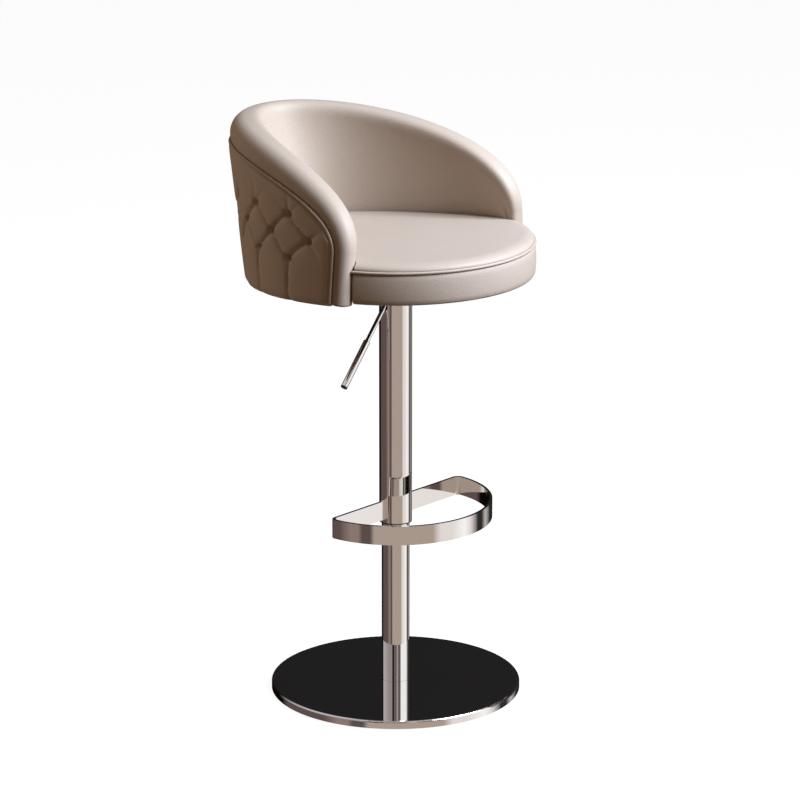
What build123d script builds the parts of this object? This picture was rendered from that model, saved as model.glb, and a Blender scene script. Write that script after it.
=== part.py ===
from build123d import *
import math
import os

# Swivel bar stool with gas lift, half-round footrest and a tufted tub back.
# Millimetres, +Z up, origin on the floor under the column, the sitter faces -Y.

# Base disc
base_d = 420.0
base_h = 15.0
cover_t = 1.5
floor_pad_t = 3.0
floor_pad_inset = 8.0
weight_gap = 2.5
flange_d = 90.0
flange_t = 4.0
flange_bolt_pcd = 70.0
flange_bolt_d = 8.0
flange_bolt_head_d = 14.0
flange_bolt_head_h = 3.6

# Column tubes
lower_tube_d = 47.0
upper_tube_d = 55.0
tube_wall = 2.0
upper_tube_bottom = 297.0
bush_length = 40.0
bush_lip = 2.0
guide_length = 45.0
guide_lip = 3.0

# Gas lift
lift_stroke = 200.0
lift_margin = 6.0
cylinder_d = 28.0
cylinder_wall = 1.6
cylinder_tail = 13.0
cylinder_top = 674.0
cylinder_head = 12.0
taper_start = 615.0
taper_length = 40.0
taper_drop = 0.7
socket_end = 2.0
rod_d = 10.0
rod_guide_h = 14.0
piston_h = 14.0
piston_lead = 4.0
rod_plate_t = 6.0
bearing_d = 28.0
bearing_h = 6.0
collar_d = 18.0
collar_h = 4.0
clip_t = 2.5
button_d = 8.0
button_rise = 8.4

# Clearances
slide_gap = 0.3
fit_gap = 0.1
pin_gap = 0.05

# Footrest
footrest_r = 162.0
footrest_top = 336.0
footrest_h = 32.0
footrest_t = 5.0
footrest_corner = 12.0

# Seat plate and lever
seat_bottom = 725.0
plate_size = 190.0
plate_t = 3.0
plate_corner = 20.0
plate_bolt_span = 150.0
plate_bolt_d = 8.0
plate_bolt_head_d = 13.0
plate_bolt_head_h = 5.0
tee_flange_d = 18.0
tee_flange_t = 1.5
tee_barrel_wall = 1.4
lever_pivot_x = -16.0
lever_pivot_drop = 41.0
lever_angle = 49.6
lever_length = 172.8
lever_rod_d = 7.5
lever_hub_d = 12.0
lever_hub_w = 10.0
lever_arm_reach = 21.0
lever_arm_t = 4.0
lever_swing = 12.0
grip_d = 11.5
grip_length = 86.0
grip_wall = 1.9
grip_cap_t = 3.0
pin_d = 5.0
bracket_t = 2.0
bracket_gap = 0.5
bracket_half = 7.0
slot_w = 12.0
slot_room = 3.0

# Seat cushion
seat_inset = 1.0
seat_welt_h = 53.0
seat_crown_h = 64.0
welt_d = 5.0
board_t = 12.0
board_inset = 14.0
dust_t = 1.0
seat_gap = 2.0

# Tub back: an ellipse in plan whose back leans out and whose arms lean in
tub_half_width = 232.0
tub_depth = 327.0
tub_y = -58.0
side_lean = -0.08
back_lean = 0.24
arm_angle = 93.0
arm_top = 803.0
back_top = 938.0
rim_rise_power = 2.6
rim_round_power = 2.25
nose_r = 16.0
roll_r = 29.0
roll_chord = 8.0
edge_gap = 0.6
arm_bottom_drop = 1.0
bottom_slope = 0.085
frame_inset = 11.0
frame_t = 12.0
frame_drop = 2.0
pad_lift = 2.0

# Tufting of the outer panel
tuft_step = 8.25
tuft_row_shares = (56 / 213, 93 / 213, 128 / 213)
tuft_depth = 7.0
panel_edge = 4.0
tuft_button_d = 12.0
tuft_button_t = 3.0

# Straps that carry the back
strap_angles = (-45.0, 0.0, 45.0)
strap_w = 30.0
strap_t = 4.0
strap_reach = 95.0
strap_gap = 0.8
screw_d = 4.0
screw_head_d = 8.0
screw_head_h = 2.4
screw_length = 13.0

base_r = base_d / 2
lower_r = lower_tube_d / 2
upper_r = upper_tube_d / 2
cylinder_r = cylinder_d / 2
seat_r = tub_half_width - seat_inset
cover_under = base_h - cover_t
flange_bottom = cover_under - flange_t
plate_bottom = seat_bottom - plate_t
board_bottom = seat_bottom + dust_t
board_top = board_bottom + board_t
welt_z = seat_bottom + seat_welt_h
tuft_rows = tuple(seat_bottom + (back_top - seat_bottom) * share for share in tuft_row_shares)
pivot = Vector(lever_pivot_x, 0, seat_bottom - lever_pivot_drop)

# Heights that leave room for the whole stroke of the lift
socket_low = taper_start + socket_end
lower_tube_top = socket_low - lift_stroke - guide_lip - lift_margin
cylinder_bottom = lower_tube_top - guide_length - cylinder_tail
rod_plate_z = cylinder_bottom - lift_stroke - lift_margin - collar_h - slide_gap - bearing_h - rod_plate_t
parts = {}


def ring(outer, inner, low, high):
    """Plain tube about the column axis."""
    body = Pos(0, 0, low) * Cylinder(outer, high - low, align=(Align.CENTER, Align.CENTER, Align.MIN))
    bore = Pos(0, 0, low - 1) * Cylinder(inner, high - low + 2, align=(Align.CENTER, Align.CENTER, Align.MIN))
    return body - bore


def rod(radius, low, high, x=0.0, y=0.0):
    """Upright cylinder from one height to another."""
    return Pos(x, y, low) * Cylinder(radius, high - low, align=(Align.CENTER, Align.CENTER, Align.MIN))


def turned(points):
    """Solid of revolution about the column axis from (radius, height) points."""
    outline = [(r, 0, z) for r, z in points]
    return revolve(make_face(Polyline(*outline, close=True)), Axis.Z)


def around(count, radius, turn=0.0):
    """Points spread evenly on a circle."""
    step = 360 / count
    return [
        (radius * math.cos(math.radians(turn + i * step)), radius * math.sin(math.radians(turn + i * step)))
        for i in range(count)
    ]


# Base: rubber pad, steel weight, polished cover, and the column bolted to the weight.
def make_base():
    bolts = around(4, flange_bolt_pcd / 2, 45)
    bolt_r = flange_bolt_d / 2
    head_r = flange_bolt_head_d / 2
    head_top = floor_pad_t + fit_gap + flange_bolt_head_h
    parts["floor_pad"] = rod(base_r - floor_pad_inset, 0, floor_pad_t)

    weight_r = base_r - cover_t - weight_gap
    weight = rod(weight_r, floor_pad_t, cover_under)
    weight -= rod(flange_d / 2 + slide_gap, flange_bottom, cover_under + 1)
    flange = ring(flange_d / 2, lower_r + fit_gap, flange_bottom, cover_under)
    screws = []
    for x, y in bolts:
        weight -= rod(head_r + slide_gap, floor_pad_t - 1, head_top, x, y)
        weight -= rod(bolt_r + slide_gap, floor_pad_t, cover_under, x, y)
        flange -= rod(bolt_r + fit_gap, flange_bottom - 1, cover_under + 1, x, y)
        head = rod(head_r, head_top - flange_bolt_head_h, head_top, x, y)
        screws.append(head + rod(bolt_r, head_top, cover_under - slide_gap, x, y))
    parts["base_weight"] = weight
    parts["column_flange"] = flange
    parts["flange_bolts"] = Compound(children=screws)

    skirt_low = floor_pad_t - 1
    cover = rod(base_r, skirt_low, base_h)
    cover = fillet(cover.edges().group_by(Axis.Z)[-1], cover_t * 2)
    cover -= rod(base_r - cover_t, skirt_low - 1, cover_under)
    cover -= rod(lower_r + slide_gap, 0, base_h + 1)
    parts["base_cover"] = cover

    parts["lower_tube"] = ring(lower_r, lower_r - tube_wall, flange_bottom, lower_tube_top)
    bore = lower_r - tube_wall
    parts["rod_plate"] = ring(bore - fit_gap, rod_d / 2 + slide_gap, rod_plate_z, rod_plate_z + rod_plate_t)
    seat_z = rod_plate_z + rod_plate_t
    parts["thrust_bearing"] = ring(bearing_d / 2, rod_d / 2 + slide_gap, seat_z, seat_z + bearing_h)
    guide = ring(bore - fit_gap, cylinder_r + slide_gap, lower_tube_top - guide_length, lower_tube_top)
    lip = ring(lower_r - fit_gap, cylinder_r + slide_gap, lower_tube_top, lower_tube_top + guide_lip)
    parts["top_guide"] = guide + lip


# Spindle: the piston rod stands on the bearing and turns with the seat.
def make_spindle():
    rod_r = rod_d / 2
    collar_z = rod_plate_z + rod_plate_t + bearing_h + slide_gap
    piston_z = cylinder_bottom + rod_guide_h + piston_lead
    clip_top = rod_plate_z - slide_gap
    groove = clip_t + 2 * fit_gap
    low = clip_top - groove - 4
    stem = rod(rod_r, low, piston_z + piston_h)
    stem += rod(collar_d / 2, collar_z, collar_z + collar_h)
    stem -= ring(rod_r + 1, rod_r - 1, clip_top - groove, clip_top)
    parts["piston_rod"] = stem
    clip_top -= fit_gap
    parts["rod_clip"] = ring(collar_d / 2, rod_r - 1 + fit_gap, clip_top - clip_t, clip_top)
    bore = cylinder_r - cylinder_wall
    parts["piston"] = ring(bore - slide_gap, rod_r + fit_gap, piston_z, piston_z + piston_h)


def lever_height(angle, side):
    """Height just above or below the lever's rod where it passes the outer tube's wall."""
    a = math.radians(angle)
    middle = pivot.Z - (upper_r - tube_wall / 2 + lever_pivot_x) * math.tan(a)
    return middle + side * (lever_rod_d / 2 / math.cos(a) + slot_room)


# Gas cylinder with its taper, the socket that holds it, and the sliding outer tube.
def make_lift():
    bore = cylinder_r - cylinder_wall
    top_r = cylinder_r - taper_drop
    taper_end = taper_start + taper_length
    head_low = cylinder_top - cylinder_head
    button_r = button_d / 2
    shell = turned(
        [
            (bore, cylinder_bottom),
            (cylinder_r, cylinder_bottom),
            (cylinder_r, taper_start),
            (top_r, taper_end),
            (top_r, cylinder_top),
            (button_r + slide_gap, cylinder_top),
            (button_r + slide_gap, head_low),
            (bore - taper_drop, head_low),
            (bore - taper_drop, taper_end),
            (bore, taper_start),
        ]
    )
    parts["gas_cylinder"] = shell
    guide_r = bore - fit_gap
    parts["rod_guide"] = ring(guide_r, rod_d / 2 + slide_gap, cylinder_bottom, cylinder_bottom + rod_guide_h)

    crown = cylinder_top + button_rise
    stem = rod(button_r, head_low - button_d, crown)
    parts["valve_button"] = stem & Pos(0, 0, crown - button_d) * Sphere(button_d) + rod(
        button_r, head_low - button_d, crown - button_d / 2
    )

    tube_bore = upper_r - tube_wall
    socket_high = taper_end - socket_end
    slope = taper_drop / taper_length
    parts["taper_socket"] = turned(
        [
            (cylinder_r - slope * socket_end + fit_gap, socket_low),
            (tube_bore - fit_gap, socket_low),
            (tube_bore - fit_gap, socket_high),
            (top_r + slope * socket_end + fit_gap, socket_high),
        ]
    )

    tube = ring(upper_r, tube_bore, upper_tube_bottom, plate_bottom)
    reach = tube_wall * 3
    low_end = lever_height(lever_angle, -1) + slot_w / 2
    high_end = lever_height(lever_angle - lever_swing, 1) - slot_w / 2
    slot = Pos(-upper_r, 0, (low_end + high_end) / 2) * Box(reach, slot_w, high_end - low_end)
    for z in (low_end, high_end):
        slot += Pos(-upper_r, 0, z) * Rot(0, 90, 0) * Cylinder(slot_w / 2, reach)
    parts["upper_tube"] = tube - slot
    bush = ring(tube_bore - fit_gap, lower_r + slide_gap, upper_tube_bottom, upper_tube_bottom + bush_length)
    lip = ring(upper_r, lower_r + slide_gap, upper_tube_bottom - bush_lip, upper_tube_bottom)
    parts["slide_bush"] = bush + lip


# Footrest: one flat strip bent to a half circle, its straight back welded to the outer tube.
def make_footrest():
    low = footrest_top - footrest_h
    half = footrest_t / 2

    def outline(inset):
        disc = Circle(footrest_r - inset)
        cut = Pos(0, -footrest_r) * Rectangle(4 * footrest_r, 2 * (footrest_r + half - inset))
        shape = disc & cut
        return fillet(shape.vertices(), footrest_corner - inset)

    band = extrude(outline(0) - outline(footrest_t), footrest_h)
    band = Pos(0, 0, low) * band
    parts["footrest_band"] = band - rod(upper_r + fit_gap, low - 1, footrest_top + 1)


# Seat plate with its bolts, and the lever that works the valve.
def make_plate():
    blank = RectangleRounded(plate_size, plate_size, plate_corner)
    plate = Pos(0, 0, plate_bottom) * extrude(blank, plate_t)
    bolt_r = plate_bolt_d / 2
    bolts = []
    nuts = []
    for x, y in bolt_places():
        plate -= rod(bolt_r + slide_gap, plate_bottom - 1, seat_bottom + 1, x, y)
        head = rod(plate_bolt_head_d / 2, plate_bottom - plate_bolt_head_h, plate_bottom, x, y)
        bolts.append(head + rod(bolt_r, plate_bottom, board_top - 2, x, y))
        barrel = bolt_r + fit_gap + tee_barrel_wall
        nut = rod(tee_flange_d / 2, board_top, board_top + tee_flange_t, x, y)
        nut += rod(barrel, board_bottom + board_t / 4, board_top, x, y)
        nuts.append(nut - rod(bolt_r + fit_gap, board_bottom, board_top + tee_flange_t + 1, x, y))
    parts["seat_plate"] = plate
    parts["plate_bolts"] = Compound(children=bolts)
    parts["tee_nuts"] = Compound(children=nuts)


def bolt_places():
    """The four corners of the seat plate's bolt square."""
    half = plate_bolt_span / 2
    return [(x, y) for x in (-half, half) for y in (-half, half)]


def make_lever():
    inner = lever_hub_w / 2 + bracket_gap
    cheeks = []
    height = plate_bottom - pivot.Z
    for side in (-1, 1):
        y = side * (inner + bracket_t / 2)
        cheek = Pos(pivot.X, y, pivot.Z + height / 2) * Box(2 * bracket_half, bracket_t, height)
        cheek += Pos(pivot.X, y, pivot.Z) * Rot(90, 0, 0) * Cylinder(bracket_half, bracket_t)
        cheeks.append(cheek)
    web = Pos(pivot.X, 0, plate_bottom - bracket_t / 2) * Box(2 * bracket_half, 2 * inner, bracket_t)
    bracket = cheeks[0] + web + cheeks[1]
    pin_length = 2 * (inner + bracket_t) + 3
    across = Pos(pivot) * Rot(90, 0, 0)
    parts["lever_bracket"] = bracket - across * Cylinder(pin_d / 2 + fit_gap, pin_length)
    parts["lever_pin"] = across * Cylinder(pin_d / 2, pin_length)

    down = math.radians(lever_angle)
    line = Vector(-math.cos(down), 0, -math.sin(down))
    shaft_plane = Plane(pivot, x_dir=(0, 1, 0), z_dir=line)
    rod_end = lever_length - grip_cap_t
    shaft = shaft_plane * Cylinder(lever_rod_d / 2, rod_end, align=(Align.CENTER, Align.CENTER, Align.MIN))
    hub = across * Cylinder(lever_hub_d / 2, lever_hub_w)
    arm_low = cylinder_top + button_rise + slide_gap
    arm = Pos(pivot.X, 0, arm_low) * Box(
        lever_arm_reach, button_d, lever_arm_t, align=(Align.MIN, Align.CENTER, Align.MIN)
    )
    lever = shaft + hub + arm
    parts["lever_rod"] = lever - across * Cylinder(pin_d / 2 + pin_gap, pin_length)

    start = rod_end - grip_length
    grip = Pos(0, 0, start) * Cylinder(grip_d / 2, grip_length, align=(Align.CENTER, Align.CENTER, Align.MIN))
    grip = fillet(grip.edges().group_by(Axis.Z)[0], grip_wall * 0.6)
    grip -= Pos(0, 0, start - 1) * Cylinder(
        lever_rod_d / 2 + fit_gap, grip_length + 2, align=(Align.CENTER, Align.CENTER, Align.MIN)
    )
    parts["lever_grip"] = shaft_plane * grip
    cap = Pos(0, 0, rod_end) * Cylinder(grip_d / 2, grip_cap_t, align=(Align.CENTER, Align.CENTER, Align.MIN))
    cap = fillet(cap.edges().group_by(Axis.Z)[-1], grip_cap_t / 3)
    parts["grip_cap"] = shaft_plane * cap


# Tub wall: a point on it from the angle round the back, the height and the depth below its outer face.
def tub_axes(z):
    """Half width and half depth of the tub's outer ellipse at a height."""
    rise = z - seat_bottom
    return tub_half_width + side_lean * rise, tub_depth + back_lean * rise


def wall_point(angle, z, inset):
    """Point of the tub, angle in degrees from the middle of the back."""
    half_width, depth = tub_axes(z)
    a = math.radians(angle)
    return Vector((half_width - inset) * math.sin(a), tub_y + (depth - inset) * math.cos(a), z)


def rim_share(angle):
    """How far the rim has risen at an angle: 0 at the arm's nose, 1 in the middle of the back."""
    share = min(abs(angle) / arm_angle, 1.0)
    return (1 - share**rim_rise_power) ** (1 / rim_round_power)


def roll_radius(angle):
    return nose_r + (roll_r - nose_r) * rim_share(angle)


def wall_slope(angle):
    """Outward lean of the wall per unit of height."""
    a = math.radians(angle)
    return side_lean * math.sin(a) ** 2 + back_lean * math.cos(a) ** 2


def shell_bottom(angle):
    """Lower edge of the back, sloping down from the arms to the rear."""
    nose = wall_point(arm_angle, seat_bottom, nose_r).Y
    at = wall_point(angle, seat_bottom, 0).Y
    return seat_bottom - arm_bottom_drop - bottom_slope * (at - nose)


def rim_place(u):
    """Angle and height of the rolled rim's centre, u from -2 at one arm's foot to 2 at the other's."""
    side = math.copysign(1, u)
    if abs(u) <= 1:
        angle = arm_angle * math.sin(math.radians(90 * abs(u)))
        return side * angle, arm_top + (back_top - arm_top) * rim_share(angle)
    foot = seat_bottom - arm_bottom_drop
    return side * arm_angle, arm_top + (foot - arm_top) * (abs(u) - 1)


def rim_centre(u):
    angle, z = rim_place(u)
    return wall_point(angle, z, roll_radius(angle))


def rim_frame(u):
    """Centre of the roll and its directions: along the rim, out of the wall, away from the wall's edge."""
    step = 0.002
    along = (rim_centre(min(u + step, 2)) - rim_centre(max(u - step, -2))).normalized()
    angle, z = rim_place(u)
    turn = wall_point(angle + 0.5, z, 0) - wall_point(angle - 0.5, z, 0)
    up = wall_point(angle, z + 1, 0) - wall_point(angle, z - 1, 0)
    out = up.cross(turn).normalized()
    if out.dot(wall_point(angle, z, 0) - wall_point(angle, z, 10)) < 0:
        out = out * -1
    out = (out - along * out.dot(along)).normalized()
    return rim_centre(u), along, out, along.cross(out)


rim_half = (0.0, 0.14, 0.28, 0.42, 0.55, 0.67, 0.77, 0.86, 0.93, 1.0, 1.3, 1.65, 2.0)
rim_stations = tuple(-u for u in reversed(rim_half[1:])) + rim_half


def edge_place(u):
    """Angle and height, in the wall, of the edge that the roll sits on."""
    centre, along, out, away = rim_frame(u)
    foot = centre - away * (roll_chord + edge_gap)
    half_width, depth = tub_axes(foot.Z)
    radius = roll_radius(rim_place(u)[0])
    angle = math.degrees(math.atan2(foot.X / (half_width - radius), (foot.Y - tub_y) / (depth - radius)))
    return angle, foot.Z


wall_end = edge_place(1.5)[0]


def edge_height(angle):
    """Height of the wall's upper edge at an angle, from the rim above it."""
    low, high = 0.0, 1.0
    for _ in range(40):
        middle = (low + high) / 2
        if edge_place(middle)[0] < abs(angle):
            low = middle
        else:
            high = middle
    return edge_place(low)[1]


wall_half = (0.0, 13.0, 26.0, 39.0, 52.0, 63.0, 72.0, 79.0, 84.0, 87.5, 90.0)
wall_stations = tuple(-a for a in reversed(wall_half[1:])) + wall_half


def wall_slab(outer, inner, low, drop=0.0):
    """Bent panel between two depths of the tub wall, cut square under the rolled rim."""
    sections = []
    end = wall_end - math.degrees(drop / tub_half_width)
    for angle in (-end,) + wall_stations + (end,):
        slope = wall_slope(angle)
        tilt = slope / (1 + slope**2)
        radius = roll_radius(angle)
        edge = edge_height(angle) - drop
        near, far = outer, inner(angle)
        foot = low(angle)
        corners = [
            wall_point(angle, foot, near),
            wall_point(angle, edge + (near - radius) * tilt, near),
            wall_point(angle, edge + (far - radius) * tilt, far),
            wall_point(angle, foot, far),
        ]
        sections.append(Face(Wire.make_polygon(corners, close=True)))
    return loft(sections)


def cord_section(centre, out, away, radius):
    """Round section of four arcs, so that its corners stay in line along the rim."""
    turns = [k * math.pi / 4 for k in range(9)]
    at = [centre + out * (radius * math.cos(t)) + away * (radius * math.sin(t)) for t in turns]
    return Face(Wire([ThreePointArc(at[k], at[k + 1], at[k + 2]) for k in (0, 2, 4, 6)]))


# Back: bent plywood frame, inner pad, rolled rim with its welt, tufted outer panel and buttons.
def make_back():
    frame_in = frame_inset + frame_t
    straps, screws, holes = strap_set
    frame = wall_slab(frame_inset, lambda a: frame_in, lambda a: shell_bottom(a) + 1, frame_drop)
    for hole in holes:
        frame -= hole
    parts["back_straps"] = Compound(children=straps)
    parts["strap_screws"] = Compound(children=screws)
    pad_low = seat_bottom + pad_lift
    pad = wall_slab(frame_in + slide_gap, lambda a: 2 * roll_radius(a), lambda a: pad_low)

    rolls = []
    welts = []
    for u in rim_stations:
        centre, along, out, away = rim_frame(u)
        radius = roll_radius(rim_place(u)[0])
        dip = math.asin(roll_chord / radius)

        def on_roll(turn):
            return centre + out * (radius * math.cos(turn)) + away * (radius * math.sin(turn))

        crest = on_roll(math.pi / 2)
        outer = ThreePointArc(on_roll(-dip), on_roll((math.pi / 2 - dip) / 2), crest)
        inner = ThreePointArc(crest, on_roll((1.5 * math.pi + dip) / 2), on_roll(math.pi + dip))
        chord = Line(on_roll(math.pi + dip), on_roll(-dip))
        rolls.append(Face(Wire([outer, inner, chord])))
        welt_r = welt_d / 2
        sink = roll_chord + welt_r * 0.4
        stand = math.sqrt((radius + welt_r + 2 * slide_gap) ** 2 - sink**2)
        welts.append(cord_section(centre + out * stand - away * sink, out, away, welt_r))
    roll = loft(rolls)
    parts["rim_roll"] = roll
    parts["rim_piping"] = loft(welts)
    parts["back_frame"] = frame
    parts["back_pad"] = pad - roll
    make_tufts()


def tuft_columns(rows_first):
    """Angles of the tuft columns: the middle row's, or those of the rows above and below it."""
    count = int(arm_angle / tuft_step)
    odd = 0 if rows_first else 1
    return [k * tuft_step for k in range(-count, count + 1) if abs(k) % 2 == odd and fits(k * tuft_step)]


def fits(angle):
    """True where the panel is tall enough for a button."""
    return edge_height(angle) > tuft_rows[2] - tuft_button_d / 2 and abs(angle) < wall_end - tuft_step / 2


def make_tufts():
    middle = tuft_columns(True)
    outside = tuft_columns(False)
    columns = sorted(middle + outside)
    rest = wall_end - columns[-1]
    ends = [columns[-1] + rest * share for share in (0.28, 0.52, 0.76, 1.0)]
    stations = [-angle for angle in reversed(ends)] + columns + ends
    sections = [tuft_section(angle, angle in middle, angle in outside) for angle in stations]
    panel = loft(sections)
    buttons = []
    spots = [(a, tuft_rows[1]) for a in middle]
    spots += [(a, z) for a in outside for z in (tuft_rows[0], tuft_rows[2])]
    for angle, z in spots:
        seat = wall_point(angle, z, tuft_depth)
        turn = wall_point(angle + 0.5, z, 0) - wall_point(angle - 0.5, z, 0)
        up = wall_point(angle, z + 1, 0) - wall_point(angle, z - 1, 0)
        plane = Plane(seat, x_dir=turn, z_dir=turn.cross(up))
        if plane.z_dir.dot(seat - wall_point(angle, z, 2 * tuft_depth)) < 0:
            plane = Plane(seat, x_dir=turn, z_dir=up.cross(turn))
        base = (Align.CENTER, Align.CENTER, Align.MIN)
        panel -= plane * Cylinder(tuft_button_d / 2 + slide_gap, 3 * tuft_depth, align=base)
        blank = Cylinder(tuft_button_d / 2, tuft_button_t, align=base)
        blank = chamfer(blank.edges().group_by(Axis.Z)[-1], tuft_button_t * 0.6)
        buttons.append(plane * blank)
    parts["tufted_panel"] = panel
    parts["tuft_buttons"] = Compound(children=buttons)


def tuft_section(angle, sunk_middle, sunk_outside):
    """Section of the outer panel: four puffs between its foot, the three tuft rows and its upper edge."""
    foot = shell_bottom(angle)
    slope = wall_slope(angle)
    tilt = slope / (1 + slope**2)
    radius = roll_radius(angle)
    edge = edge_height(angle)
    top = edge + (panel_edge - radius) * tilt
    back = frame_inset - edge_gap
    shares = (0.34, 0.58, 0.8)
    rows = [min(z, foot + (top - foot) * s) for z, s in zip(tuft_rows, shares)]
    plain = not (sunk_middle or sunk_outside)
    flush = panel_edge - 0.3 * (wall_end - abs(angle))
    low = tuft_depth if sunk_outside else flush if plain else 0.0
    mid = tuft_depth if sunk_middle else flush if plain else 0.0
    heights = [foot] + rows + [top]
    depths = [panel_edge + 1, low, mid, low, panel_edge]
    edges = []
    for i in range(4):
        z0, z1 = heights[i], heights[i + 1]
        d0, d1 = depths[i], depths[i + 1]
        puff = 0.22 * abs(d0 - d1) + (0.3 if plain else 0.9)
        crown = max((d0 + d1) / 2 - puff, -0.5)
        start = wall_point(angle, z0, d0)
        bulge = wall_point(angle, (z0 + z1) / 2, crown)
        edges.append(ThreePointArc(start, bulge, wall_point(angle, z1, d1)))
    inner_top = wall_point(angle, edge + (back - radius) * tilt, back)
    inner_foot = wall_point(angle, foot, back)
    edges.append(Line(wall_point(angle, top, panel_edge), inner_top))
    edges.append(Line(inner_top, inner_foot))
    edges.append(Line(inner_foot, wall_point(angle, foot, panel_edge + 1)))
    return Face(Wire(edges))


def make_straps():
    """Angle straps that hang the back on the seat board, with their screws and the holes for them."""
    straps, screws, holes = [], [], []
    for angle in strap_angles:
        inset = frame_inset + frame_t + strap_gap
        origin = wall_point(angle, seat_bottom, 0)
        a = math.radians(angle)
        flat = Vector(math.sin(a) / tub_half_width, math.cos(a) / tub_depth, 0).normalized()
        plane = Plane(origin, x_dir=flat, z_dir=flat.cross(Vector(0, 0, 1)))
        if plane.y_dir.Z < 0:
            plane = Plane(origin, x_dir=flat, z_dir=Vector(0, 0, 1).cross(flat) * -1)
        slope = wall_slope(angle)
        drop = shell_bottom(angle) + strap_t - seat_bottom
        face = lambda z: slope * z - inset
        outline = [
            (face(drop), drop),
            (face(0), 0),
            (-strap_reach, 0),
            (-strap_reach, -strap_t),
            (face(-strap_t) - strap_t, -strap_t),
            (face(drop) - strap_t, drop),
        ]
        strap = plane * extrude(make_face(Polyline(*outline, close=True)), strap_w / 2, both=True)
        for side in (-1, 1):
            spot = origin - flat * (strap_reach - screw_head_d) + plane.z_dir * (side * strap_w / 4)
            hole = rod(screw_d / 2 + fit_gap, seat_bottom - strap_t - 1, board_top - 1, spot.X, spot.Y)
            strap -= hole
            holes.append(hole)
            under = seat_bottom - strap_t
            head = rod(screw_head_d / 2, under - screw_head_h, under, spot.X, spot.Y)
            screws.append(head + rod(screw_d / 2, under, under + screw_length, spot.X, spot.Y))
        mid = (drop - strap_t) / 2
        spot = origin + flat * (face(mid) - strap_t) + Vector(0, 0, mid)
        aim = (flat - Vector(0, 0, slope)).normalized()
        axis = Plane(spot, z_dir=aim)
        base = (Align.CENTER, Align.CENTER, Align.MIN)
        bore = axis * Pos(0, 0, -1) * Cylinder(screw_d / 2 + fit_gap, screw_length + 2, align=base)
        strap -= bore
        holes.append(bore)
        head = Pos(0, 0, -screw_head_h - fit_gap) * Cylinder(screw_d, screw_head_h, align=base)
        shank = Pos(0, 0, -fit_gap) * Cylinder(screw_d / 2, screw_length, align=base)
        screws.append(axis * (head + shank))
        straps.append(strap)
    return straps, screws, holes


# Seat: plywood board, crowned cushion that is narrower between the arms, welt and dust cover.
def seat_outline(inset):
    """Plan of the seat: a round front with a step behind each corner, then the inside of the tub."""
    radius = seat_r - inset
    crown_z = seat_bottom + seat_crown_h
    nose = wall_point(arm_angle, seat_bottom + seat_crown_h, nose_r).Y
    step_y = nose - nose_r - seat_gap - inset
    step_x = math.sqrt(radius**2 - step_y**2)
    rear = []
    for angle in (arm_angle, 88, 79, 64, 44, 22, 0, -22, -44, -64, -79, -88, -arm_angle):
        depth = 2 * roll_radius(angle) + seat_gap + inset
        rear.append((wall_point(angle, crown_z, depth).X, wall_point(angle, seat_bottom, depth).Y))
    side_x = rear[0][0]
    return make_face(
        ThreePointArc((step_x, step_y), (0, -radius), (-step_x, step_y))
        + Line((-step_x, step_y), (-side_x, step_y))
        + Line((-side_x, step_y), rear[-1])
        + Spline(*reversed(rear))
        + Line(rear[0], (side_x, step_y))
        + Line((side_x, step_y), (step_x, step_y))
    )


def make_seat():
    holes = strap_set[2]
    groove = welt_d / 2 + 2 * fit_gap
    edge = seat_r - welt_d / 2
    crown = seat_bottom + seat_crown_h
    shoulder = welt_z + groove + welt_d * 0.62
    side = [
        Line((0, 0, seat_bottom), (seat_r - welt_d, 0, seat_bottom)),
        ThreePointArc(
            (seat_r - welt_d, 0, seat_bottom),
            (seat_r, 0, (seat_bottom + welt_z) / 2),
            (edge, 0, welt_z - groove),
        ),
        ThreePointArc((edge, 0, welt_z - groove), (edge - groove, 0, welt_z), (edge, 0, welt_z + groove)),
        ThreePointArc(
            (edge, 0, welt_z + groove),
            (edge - welt_d, 0, welt_z + groove + welt_d * 0.35),
            (edge - 3 * welt_d, 0, shoulder),
        ),
        Line((edge - 3 * welt_d, 0, shoulder), (0, 0, shoulder)),
        Line((0, 0, shoulder), (0, 0, seat_bottom)),
    ]
    whole = revolve(make_face(Wire(side)), Axis.Z)
    rise = crown - shoulder
    reach = edge - 3 * welt_d
    dome_r = (reach**2 + rise**2) / (2 * rise)
    cap = rod(reach, crown - rise - welt_d, crown) & Pos(0, 0, crown - dome_r) * Sphere(dome_r)
    whole += cap
    plan = Pos(0, 0, seat_bottom - 1) * extrude(seat_outline(0), seat_crown_h + 5)
    cushion = whole & plan
    pocket = Pos(0, 0, seat_bottom - 1) * extrude(seat_outline(board_inset - slide_gap), board_t + dust_t + 1)
    cushion -= pocket
    board = Pos(0, 0, board_bottom) * extrude(seat_outline(board_inset), board_t)
    dust = Pos(0, 0, seat_bottom) * extrude(seat_outline(board_inset), dust_t)
    for x, y in bolt_places():
        cushion -= rod(tee_flange_d / 2 + slide_gap, seat_bottom, board_top + tee_flange_t + slide_gap, x, y)
        barrel = plate_bolt_d / 2 + 2 * fit_gap + tee_barrel_wall
        board -= rod(barrel, board_bottom - 1, board_top + 1, x, y)
        dust -= rod(plate_bolt_d / 2 + slide_gap, seat_bottom - 1, board_bottom + 1, x, y)
    for hole in holes:
        board -= hole
        dust -= hole
    parts["seat_cushion"] = cushion
    parts["seat_board"] = board
    parts["dust_cover"] = dust

    nose = wall_point(arm_angle, seat_bottom + seat_crown_h, nose_r).Y
    half = math.degrees(math.acos((nose_r + seat_gap - nose) / seat_r))
    bead = Pos(edge, 0, welt_z) * Rot(90, 0, 0) * Circle(welt_d / 2)
    parts["seat_piping"] = Rot(0, 0, -90 - half) * revolve(bead, Axis.Z, 2 * half)


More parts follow.
